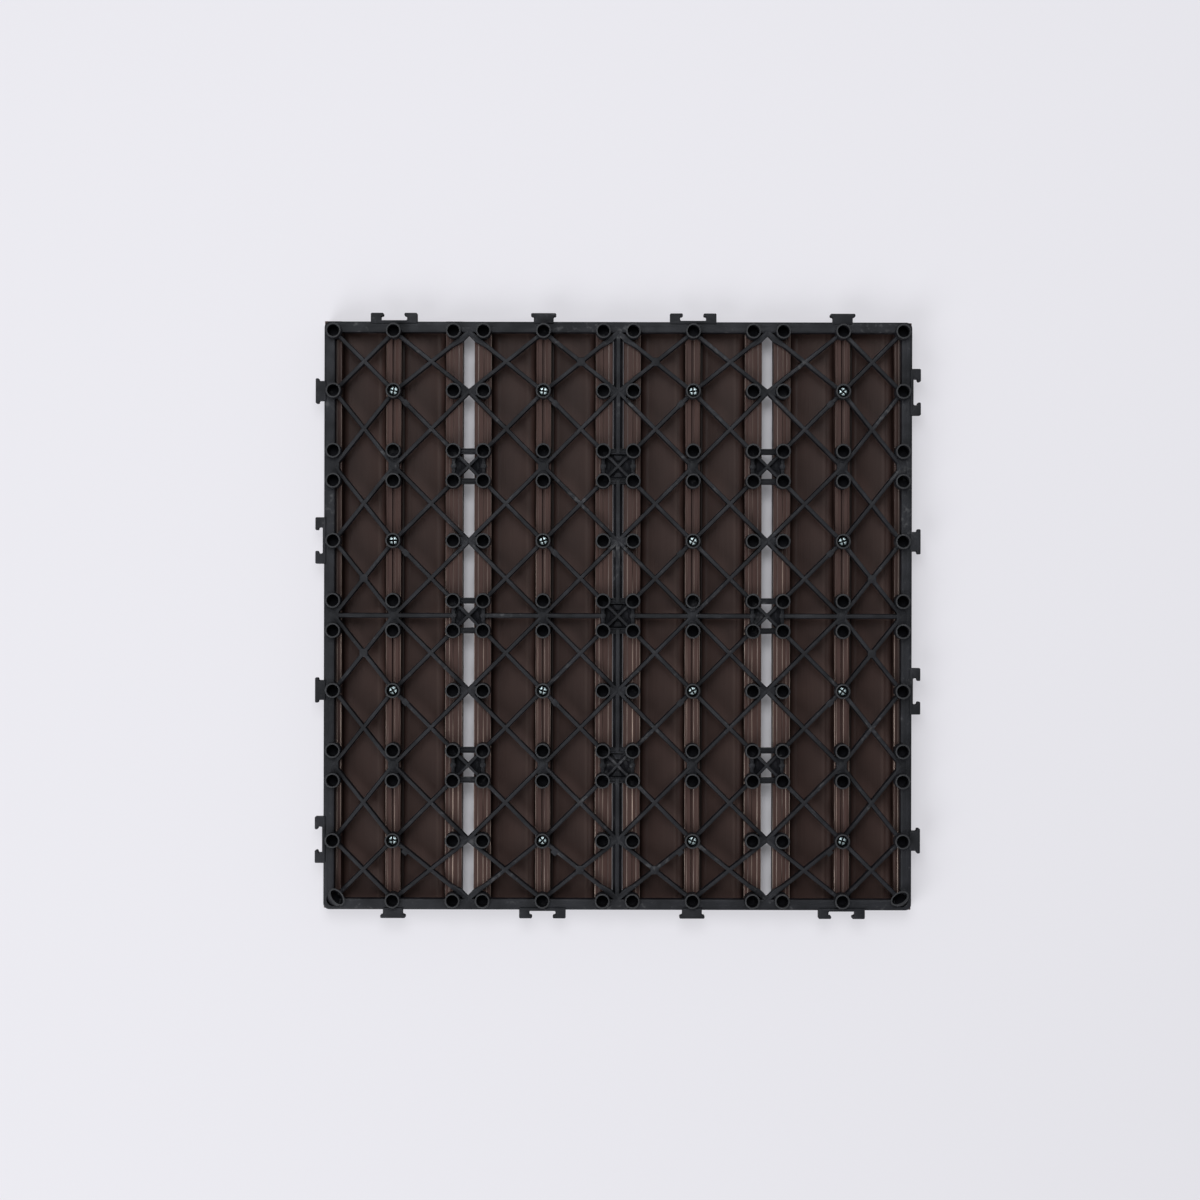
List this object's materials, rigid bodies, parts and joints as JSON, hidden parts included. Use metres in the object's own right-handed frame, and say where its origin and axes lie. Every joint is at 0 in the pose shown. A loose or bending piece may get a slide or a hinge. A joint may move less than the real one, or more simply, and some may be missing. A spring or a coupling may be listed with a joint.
{
  "type": "interlocking deck tile",
  "caption": "Square snap-together deck tile: composite boards screwed to a black ribbed plastic base with tubular feet and edge hooks, shown feet up.",
  "frame": {"origin": "centre of the tile's outline on the plane of its deck face", "axes": "+Z from the deck face to the feet, because the tile lies on its deck face as in the picture; in use it is turned over. +Y along the boards, +X across them."},
  "size_m": [0.3034, 0.3034, 0.022],
  "materials": {
    "black_plastic": "moulded black polypropylene, satin",
    "composite": "dark brown wood-plastic composite, extruded and brushed, matt",
    "zinc": "bright zinc plated steel"
  },
  "bodies": {
    "root": {"base_grid": "black_plastic", "slat_1": "composite", "slat_2": "composite", "slat_3": "composite", "slat_4": "composite", "screws": "zinc"}
  },
  "joints": []
}
